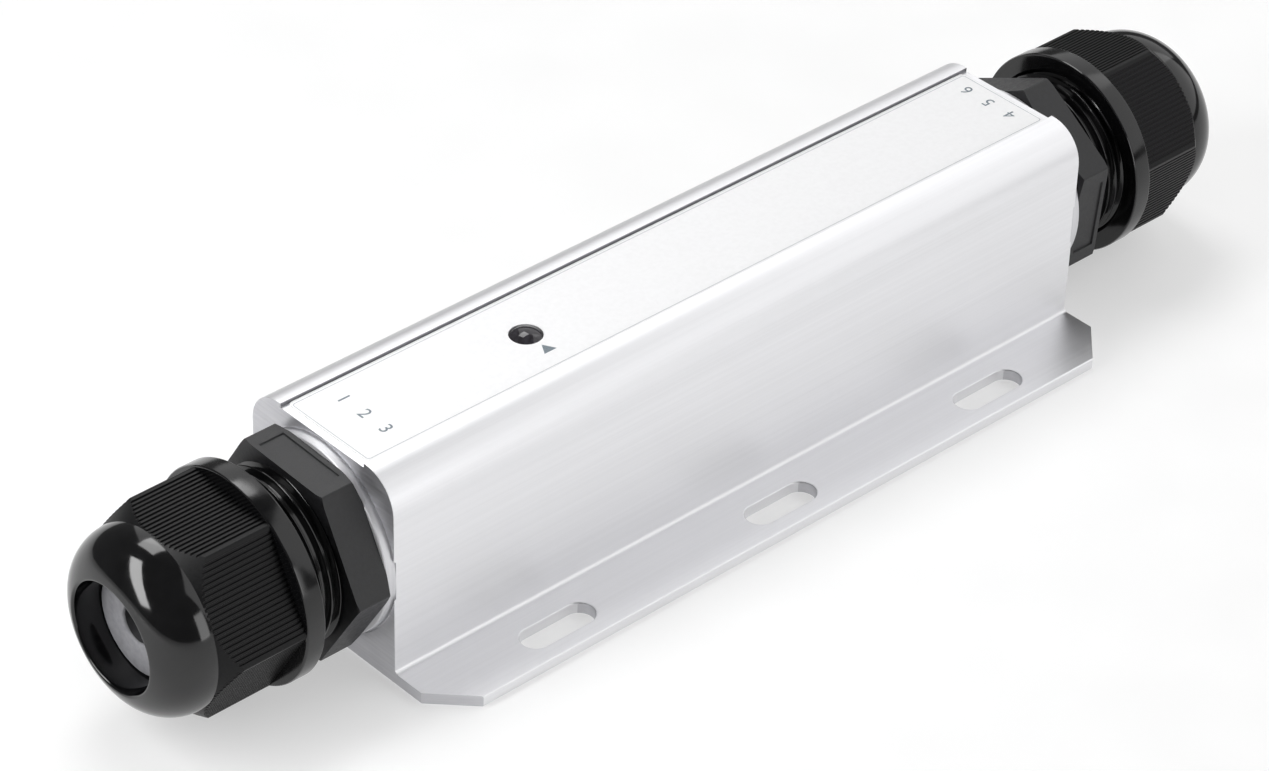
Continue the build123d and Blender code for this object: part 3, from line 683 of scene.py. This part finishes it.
for side, end in ENDS.items():
    # The hexagon: a cone cuts its corners at the back, a smaller one in front, and the gasket's pocket
    # is sunk in its back.
    hexagon = hexagon_bar(
        end, HEX_BACK, HEX_FRONT - HEX_BACK, BODY_FLATS, body_corner_angle[side], BODY_CORNER_ROUND,
    )
    body = piece_from(hexagon, f"{side}_gland", [satin_nylon, glossy_nylon])
    combine(body, spun([
        (POCKET_FLOOR, 0), (POCKET_FLOOR, POCKET_RADIUS), (HEX_BACK - OVERCUT, POCKET_RADIUS),
        (HEX_BACK - OVERCUT, HEX_CORNER_RADIUS - CORNER_CUT_SLOPE * (BACK_CORNER_CUT + OVERCUT)),
        (HEX_BACK + BACK_CORNER_CUT, HEX_CORNER_RADIUS), (HEX_FRONT - FRONT_CORNER_CUT, HEX_CORNER_RADIUS),
        (HEX_FRONT + OVERCUT, HEX_CORNER_RADIUS - CORNER_CUT_SLOPE * (FRONT_CORNER_CUT + OVERCUT)),
        (HEX_FRONT + OVERCUT, 0),
    ], end), "INTERSECT")

    # The thread is one row of teeth spun a full turn while it advances by one lead, so it meets itself.
    # It is cut off at both ends, chamfered at its mouth, and its cut ends are set exactly level.
    bm = bmesh.new()
    points = [
        bm.verts.new((end * (END_X + THREAD_START + i * THREAD_LEAD + out), 0, GLAND_HEIGHT + radius))
        for i in range(THREAD_TURNS) for out, radius in TOOTH
    ]
    edges = [bm.edges.new(pair) for pair in zip(points, points[1:])]
    bmesh.ops.spin(
        bm, geom=points + edges, cent=(0, 0, GLAND_HEIGHT), axis=(end, 0, 0),
        dvec=(-end * THREAD_LEAD / THREAD_STEPS, 0, 0), angle=tau, steps=THREAD_STEPS,
        use_merge=False, use_normal_flip=False, use_duplicate=False,
    )
    bmesh.ops.remove_doubles(bm, verts=bm.verts, dist=1e-6)
    for cut_out, outward in ((NECK_START, -1), (NECK_END, 1)):
        bmesh.ops.bisect_plane(
            bm, geom=bm.verts[:] + bm.edges[:] + bm.faces[:], dist=SAME_PLACE,
            plane_co=(end * (END_X + cut_out), 0, 0), plane_no=(end * outward, 0, 0), clear_outer=True,
        )
    for point in bm.verts:
        from_axis = Vector((0, point.co.y, point.co.z - GLAND_HEIGHT))
        limit = min(NECK_CREST, NECK_CREST - NECK_CHAMFER + (NECK_END - (abs(point.co.x) - END_X)))
        if from_axis.length > limit:
            point.co -= from_axis.normalized() * (from_axis.length - limit)
        for cut_out in (NECK_START, NECK_END):
            if abs(abs(point.co.x) - END_X - cut_out) < 1e-6:
                point.co.x = end * (END_X + cut_out)
    bmesh.ops.holes_fill(bm, edges=[e for e in bm.edges if e.is_boundary], sides=0)
    bmesh.ops.recalc_face_normals(bm, faces=bm.faces)
    for face in bm.faces:
        face.material_index = 1
    combine(body, bm, "UNION")

    # Stem behind, turned by half a facet so that none of its edges meets one of the pocket's, and a bore
    # with a cone at its mouth for the cage.
    combine(body, spun([
        (-STEM_LENGTH, 0), (-STEM_LENGTH, STEM_RADIUS - STEM_CHAMFER),
        (STEM_CHAMFER - STEM_LENGTH, STEM_RADIUS), (STEM_FRONT, STEM_RADIUS), (STEM_FRONT, 0),
    ], end, start=pi / FACETS), "UNION")
    combine(body, spun([
        (-OVERCUT - STEM_LENGTH, 0), (-OVERCUT - STEM_LENGTH, BODY_BORE_RADIUS),
        (CAGE_CONE_BACK, BODY_BORE_RADIUS), (CAGE_CONE_FRONT, CAGE_CONE_RADIUS),
        (NECK_END + OVERCUT, CAGE_CONE_RADIUS), (NECK_END + OVERCUT, 0),
    ], end), "DIFFERENCE")

    # Sunk plain panel on one flat, with slanting sides.
    bm = bmesh.new()
    for depth, spread in ((-PANEL_DEPTH, 0.0), (0.0002, PANEL_SLANT)):
        rectangle = [
            bm.verts.new((x * (PANEL_HALF_SIZE[0] + spread), y * (PANEL_HALF_SIZE[1] + spread), depth))
            for x, y in ((-1, -1), (1, -1), (1, 1), (-1, 1))
        ]
        bm.faces.new(rectangle)
    bmesh.ops.bridge_loops(bm, edges=bm.edges[:])
    bmesh.ops.recalc_face_normals(bm, faces=bm.faces)
    lift = Matrix.Translation((end * (END_X + (HEX_BACK + HEX_FRONT) / 2), 0, GLAND_HEIGHT))
    roll = Matrix.Rotation(radians(body_corner_angle[side] + panel_flat_angle[side]), 4, "X")
    bmesh.ops.transform(bm, matrix=lift @ roll @ Matrix.Translation((0, 0, BODY_FLATS / 2)), verts=bm.verts)
    combine(body, bm, "DIFFERENCE")
    refine(body)
    declare(body, "housing", "gland_plastic", f"{side}_gland_body")

# Dome nuts
# A ribbed hexagon whose corners run out in a cone, with a collar behind and a polished dome in front,
# moulded in one in black polyamide. It screws onto the neck and drives the clamp cage in.
NUT_BACK = 0.0189
COLLAR_FRONT = 0.0237
COLLAR_RADIUS = 0.0243
CORE_RADIUS = 0.0203
HOLLOW_RADIUS = 0.0199
HOLLOW_CHAMFER = 0.0006
CONE_BACK = 0.0383
DOME_BACK = 0.0432
NUT_FLATS = 0.0417
NUT_CORNER_RADIUS = 0.02483
NUT_CORNER_ROUND = 0.0005
HEXAGON_BACK = NUT_BACK + 0.003
HEXAGON_FRONT = DOME_BACK + 0.0005
HEXAGON_INSIDE = (HOLLOW_RADIUS + CORE_RADIUS) / 2
DOME_CENTRE_OUT = 0.043664
DOME_CENTRE_RADIUS = 0.01003
DOME_ROUND = 0.0107
DOME_START_ANGLE = 94.5
DOME_END_ANGLE = 16.5
LIP_ROUND = 0.0006
LIP_END_ANGLE = -84.0
MOUTH_RADIUS = 0.0116
MOUTH_FRONT = 0.0465
MOUTH_BACK = 0.0445
PRESS_RADIUS = 0.0165
PRESS_BACK = 0.0411
GROOVES = 20
GROOVE_PITCH = 0.00112
GROOVE_WIDTH = 0.00066
GROOVE_FLOOR = 0.0004
GROOVE_DEPTH = 0.00035
nut_corner_angle = {"output": 1.8, "input": 47.6}
grooves = []
for i in range(GROOVES):
    middle = (i - (GROOVES - 1) / 2) * GROOVE_PITCH
    grooves += [
        (middle - GROOVE_WIDTH / 2, 0.0), (middle - GROOVE_FLOOR / 2, GROOVE_DEPTH),
        (middle + GROOVE_FLOOR / 2, GROOVE_DEPTH), (middle + GROOVE_WIDTH / 2, 0.0),
    ]

# Fine satin black polyamide: the nut's ribbed flats scatter little light, so they stay darkest. Their
# craters are finer still, and drawn at 0.4 mm for the render's sake.
fine_nylon, tree, shader = new_material("fine_satin_polyamide", IOR=1.5, Specular_IOR_Level=0.18)
craters = grains(tree, (0.42, 0.42, 0.42))
tint(tree, shader, craters, "0E0E0F", "161617")
roughen(tree, shader, craters, 0.34, 0.46)
relief(tree, shader, craters, 0.00001)

# Smooth black polyamide: the collar is less polished than the dome, so lamps show in it softly.
smooth_nylon = moulded_gloss("smooth_polyamide", 1.5, 0.12, 0.18)


def arc(centre_out, centre_radius, radius, start, stop, count):
    """Points of an arc in a gland's half section, with its angles from the outward direction."""
    angles = [radians(start + (stop - start) * i / (count - 1)) for i in range(count)]
    return [(centre_out + radius * cos(a), centre_radius + radius * sin(a)) for a in angles]


# The dome's arc runs from the core to the lip, whose own arc carries on from it and rolls inwards.
dome = arc(DOME_CENTRE_OUT, DOME_CENTRE_RADIUS, DOME_ROUND, DOME_START_ANGLE, DOME_END_ANGLE, 31)
lip = arc(
    DOME_CENTRE_OUT + (DOME_ROUND - LIP_ROUND) * cos(radians(DOME_END_ANGLE)),
    DOME_CENTRE_RADIUS + (DOME_ROUND - LIP_ROUND) * sin(radians(DOME_END_ANGLE)),
    LIP_ROUND, DOME_END_ANGLE, LIP_END_ANGLE, 11,
)

for side, end in ENDS.items():
    # The ribbed hexagon: a ring cut to a cone in front, whose inside and ends lie hidden in the shell. Its
    # cone is turned by half a facet, so that none of its edges meets one of the dome's.
    hexagon = hexagon_bar(
        end, HEXAGON_BACK - OVERCUT, HEXAGON_FRONT - HEXAGON_BACK + 2 * OVERCUT, NUT_FLATS,
        nut_corner_angle[side], NUT_CORNER_ROUND, grooves,
    )
    nut = piece_from(hexagon, f"{side}_nut", [fine_nylon, glossy_nylon, smooth_nylon])
    combine(nut, spun([
        (HEXAGON_BACK, HEXAGON_INSIDE), (HEXAGON_BACK, NUT_CORNER_RADIUS), (CONE_BACK, NUT_CORNER_RADIUS),
        (HEXAGON_FRONT, CORE_RADIUS), (HEXAGON_FRONT, HEXAGON_INSIDE),
    ], end, start=pi / FACETS), "INTERSECT")

    # The shell in one outline: collar, core, dome and lip outside, then the seal's mouth, the cone that
    # presses the cage and the wide start for the neck inside.
    shell = spun([
        (NUT_BACK, HOLLOW_RADIUS + HOLLOW_CHAMFER), (NUT_BACK, COLLAR_RADIUS - 0.0005),
        (NUT_BACK + 0.00015, COLLAR_RADIUS - 0.00018), (NUT_BACK + 0.0005, COLLAR_RADIUS),
        (COLLAR_FRONT - 0.0005, COLLAR_RADIUS), (COLLAR_FRONT - 0.00015, COLLAR_RADIUS - 0.00018),
        (COLLAR_FRONT, COLLAR_RADIUS - 0.0005), (COLLAR_FRONT, CORE_RADIUS), (dome[0][0], CORE_RADIUS),
    ] + dome + lip[1:] + [
        (MOUTH_FRONT, MOUTH_RADIUS), (MOUTH_BACK, MOUTH_RADIUS), (MOUTH_BACK, PRESS_RADIUS),
        (PRESS_BACK, HOLLOW_RADIUS), (NUT_BACK + HOLLOW_CHAMFER, HOLLOW_RADIUS),
    ], end)
    for face in shell.faces:
        middle = face.calc_center_median()
        from_axis = sqrt(middle.y ** 2 + (middle.z - GLAND_HEIGHT) ** 2)
        polished = abs(middle.x) > END_X + DOME_BACK or from_axis < HOLLOW_RADIUS + 0.00005
        face.material_index = 1 if polished else 2
    combine(nut, shell, "UNION")
    refine(nut)
    declare(nut, f"{side}_nut", "gland_plastic", f"{side}_dome_nut")

# Cable seals
# A plug of grey rubber with one hole for the cable, its mouth softly rounded. It sits in the clamp cage,
# whose fingers squeeze it onto the cable.
SEAL_HOLE_RADIUS = 0.00415
SEAL_BACK = 0.02555
SEAL_STEP = 0.0442
SEAL_FRONT = 0.0477
SEAL_RADIUS = 0.0133
SEAL_NOSE_RADIUS = 0.0113
SEAL_CHAMFER = 0.002
SEAL_HOLE_EDGE = 0.0006

# Grey rubber: matt, with the faint dry bloom of a moulded elastomer, in spots of 1.4 mm.
rubber, tree, shader = new_material("grey_rubber", IOR=1.5)
bloom = grains(tree, (1.4, 1.4, 1.4), detail=3.0)
tint(tree, shader, bloom, "86868A", "98989C")
roughen(tree, shader, bloom, 0.5, 0.68)
relief(tree, shader, bloom, 0.00002)

# Seal hole: the wall of the cable hole is coloured far darker than the rubber, painted shade for the inside
# of the hole. It is less rough, as the core pin left it smooth.
seal_hole_shade, tree, shader = new_material("seal_hole_painted_shade", IOR=1.5)
bloom = grains(tree, (1.4, 1.4, 1.4), detail=3.0)
tint(tree, shader, bloom, "3A3A3C", "464648")
roughen(tree, shader, bloom, 0.35, 0.5)

for side, end in ENDS.items():
    plug = spun([
        (SEAL_BACK, SEAL_HOLE_RADIUS + SEAL_HOLE_EDGE), (SEAL_BACK, SEAL_RADIUS - SEAL_CHAMFER),
        (SEAL_BACK + SEAL_CHAMFER, SEAL_RADIUS), (SEAL_STEP, SEAL_RADIUS), (SEAL_STEP, SEAL_NOSE_RADIUS),
        (SEAL_FRONT - 0.0003, SEAL_NOSE_RADIUS), (SEAL_FRONT - 0.0001, SEAL_NOSE_RADIUS - 0.00008),
        (SEAL_FRONT, SEAL_NOSE_RADIUS - 0.0003), (SEAL_FRONT, SEAL_HOLE_RADIUS + SEAL_HOLE_EDGE),
        (SEAL_FRONT - 0.00008, SEAL_HOLE_RADIUS + 0.00035), (SEAL_FRONT - 0.0003, SEAL_HOLE_RADIUS + 0.00013),
        (SEAL_FRONT - SEAL_HOLE_EDGE, SEAL_HOLE_RADIUS), (SEAL_BACK + SEAL_HOLE_EDGE, SEAL_HOLE_RADIUS),
    ], end, FACETS // 2)
    for face in plug.faces:
        middle = face.calc_center_median()
        # The wall of the cable hole takes the painted shade.
        if sqrt(middle.y ** 2 + (middle.z - GLAND_HEIGHT) ** 2) < SEAL_HOLE_RADIUS + 0.00005:
            face.material_index = 1
    seal = piece_from(plug, f"{side}_seal", [rubber, seal_hole_shade], 40.0)
    declare(seal, f"{side}_insert", "grey_rubber", f"{side}_cable_seal")

# Hidden pieces
# The gaskets, clamp cages, liner, board and what the board carries. They keep the shapes of the model,
# and each kind gets the finish that such a piece has when it is bought.


def plain_finish(name, dark, light, millimetres, roughness, **shader_values):
    """An even material with a fine grain, which measures so many millimetres."""
    material, tree, shader = new_material(name, **shader_values)
    grain = grains(tree, (millimetres, millimetres, millimetres))
    tint(tree, shader, grain, dark, light)
    roughen(tree, shader, grain, roughness - 0.05, roughness + 0.05)
    return material


# Black rubber: matt, with faint bloom. Polypropylene: a waxy off-white. Solder mask: an even green gloss.
black_rubber = plain_finish("black_rubber", "1A1A1A", "242424", 1.1, 0.6, IOR=1.5)
sleeve_plastic = plain_finish("extruded_polypropylene", "C9C9C3", "D6D6D0", 3.3, 0.4, IOR=1.49)
board_mask = plain_finish("solder_mask", "1C5A36", "23663F", 1.7, 0.35, IOR=1.55)
# Terminal polyamide: a satin green. Zinc plate: bright, clouded in spots. Epoxy dip: a blue half gloss.
terminal_plastic = plain_finish("green_polyamide", "3E8A4E", "489858", 1.4, 0.45, IOR=1.53)
zinc_plate = plain_finish("zinc_plated_steel", "C4C6C9", "D8DADC", 0.67, 0.32, Metallic=1.0)
blue_epoxy = plain_finish("blue_epoxy_coating", "1E3F86", "264A96", 2.0, 0.4, IOR=1.55)
# Fuse and gas tube: glazed ceramics, the one creamy and the other white. Lamp: tinted clear epoxy.
fuse_ceramic = plain_finish("fuse_ceramic", "DAD6CC", "E4E0D6", 1.25, 0.5, IOR=1.6)
tube_ceramic = plain_finish("tube_ceramic", "E2E2DE", "ECECE8", 1.25, 0.45, IOR=1.6)
green_epoxy = plain_finish("green_clear_epoxy", "6FBF6A", "7CCB77", 2.0, 0.15, IOR=1.55)
# Resistor coating: a matt tan enamel. Turned brass: a soft yellow shine.
resistor_coat = plain_finish("resistor_coating", "C2AB86", "CDB893", 1.4, 0.45, IOR=1.5)
turned_brass = plain_finish("turned_brass", "D2B060", "DFC074", 0.67, 0.3, Metallic=1.0)
finishes = {
    "indicator_gasket": black_rubber, "output_gland_gasket": black_rubber, "input_gland_gasket": black_rubber,
    "output_clamp_cage": satin_nylon, "input_clamp_cage": satin_nylon,
    "insulating_sleeve": sleeve_plastic, "circuit_board": board_mask,
    "output_terminal_block": terminal_plastic, "input_terminal_block": terminal_plastic,
    "output_terminal_screws": zinc_plate, "input_terminal_screws": zinc_plate,
    "varistors": blue_epoxy, "thermal_fuses": fuse_ceramic, "gas_discharge_tube": tube_ceramic,
    "indicator_led": green_epoxy, "led_resistor": resistor_coat, "earth_post": turned_brass,
    "earth_screw": zinc_plate, "board_screw": zinc_plate,
}
for node, material in finishes.items():
    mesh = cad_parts[node].data
    mesh.materials.clear()
    mesh.materials.append(material)

# Studio
# A pale floor, soft lamps above for the highlights on the domes, weak panels that the metal mirrors, and
# the camera where the photographer stood.
FLOOR_LIFT = 0.46
SKY_LEVEL = 0.12
NEAR_DOME = (-0.145, 0.0, GLAND_HEIGHT)

# The camera's place, axes and lens were solved from edges and corners of the housing.
CAMERA_LENS = 126.745
CAMERA_PLACE = (-0.547029, -0.56463, 0.585811)
CAMERA_RIGHT = (0.738904, -0.673356, 0.024739)
CAMERA_UP = (0.380825, 0.447622, 0.809078)
CAMERA_BACK = (-0.555871, -0.58841, 0.587181)

# Floor paint: matt and pale. Seen straight or in a reflection it is lifted to full white, while its
# light on the object and the object's shadow on it stay.
floor_paint, tree, shader = new_material("floor_paint", Roughness=0.9, Emission_Color=(1, 1, 1, 1))
tint(tree, shader, grains(tree, (25, 25, 25), detail=1.0), "C2C2C2", "C6C6C6")
light_path = add_node(tree, "ShaderNodeLightPath", {})
straight = add_node(
    tree, "ShaderNodeMath",
    {0: light_path.outputs["Is Camera Ray"], 1: light_path.outputs["Is Glossy Ray"]}, operation="MAXIMUM",
)
seen = add_node(
    tree, "ShaderNodeMath",
    {0: straight.outputs["Value"], 1: light_path.outputs["Is Transmission Ray"]}, operation="MAXIMUM",
)
lift = add_node(tree, "ShaderNodeMath", {0: seen.outputs["Value"], 1: FLOOR_LIFT}, operation="MULTIPLY")
tree.links.new(lift.outputs["Value"], shader.inputs["Emission Strength"])
bm = bmesh.new()
bmesh.ops.create_grid(bm, x_segments=1, y_segments=1, size=10.0)
bmesh.ops.translate(bm, verts=bm.verts, vec=(0, 0, -0.0002))
piece_from(bm, "floor", [floor_paint])

world = bpy.data.worlds.new("studio")
bpy.context.scene.world = world
world.use_nodes = True
world.node_tree.nodes["Background"].inputs["Color"].default_value = (1, 1, 1, 1)
world.node_tree.nodes["Background"].inputs["Strength"].default_value = SKY_LEVEL


def softbox(name, toward, distance, width, height, radiance, long_side=(0, 0, 1), aim=(0, 0, 0)):
    """Soft lamp that faces a point of the part, with its size in degrees as seen from there."""
    away = Vector(toward).normalized()
    tall = (Vector(long_side) - away * away.dot(Vector(long_side))).normalized()
    lamp = bpy.data.lights.new(name, "AREA")
    lamp.shape = "RECTANGLE"
    lamp.size = 2 * distance * tan(radians(width / 2))
    lamp.size_y = 2 * distance * tan(radians(height / 2))
    lamp.energy = radiance * pi * lamp.size * lamp.size_y
    stand = bpy.data.objects.new(name, lamp)
    facing = Matrix((tall.cross(away), tall, away)).transposed().to_4x4()
    stand.matrix_world = Matrix.Translation(Vector(aim) + away * distance) @ facing
    bpy.context.collection.objects.link(stand)


softbox("left_lamp", (-0.74, 0.2, 0.642), 0.42, 17, 58, 9.2, (0.735, 0.43, 0.555), NEAR_DOME)
softbox("back_lamp", (0.18, 0.43, 0.884), 1.4, 26, 22, 5.2, (0.0, 1.0, 0.0))
softbox("front_card", (0.13, -0.96, 0.22), 1.0, 22, 30, 3.0)
softbox("back_panel", (0.62, 0.47, 0.63), 1.5, 56, 42, 0.9)
softbox("right_panel", (0.709, -0.41, 0.574), 1.5, 64, 56, 1.1)

camera = bpy.data.cameras.new("camera")
camera.sensor_width = 36.0
camera.lens = CAMERA_LENS
camera.clip_end = 50.0
stand = bpy.data.objects.new("camera", camera)
turn = Matrix((CAMERA_RIGHT, CAMERA_UP, CAMERA_BACK)).transposed().to_4x4()
stand.matrix_world = Matrix.Translation(CAMERA_PLACE) @ turn
bpy.context.collection.objects.link(stand)
bpy.context.scene.camera = stand

bpy.context.scene.view_settings.view_transform = "Standard"
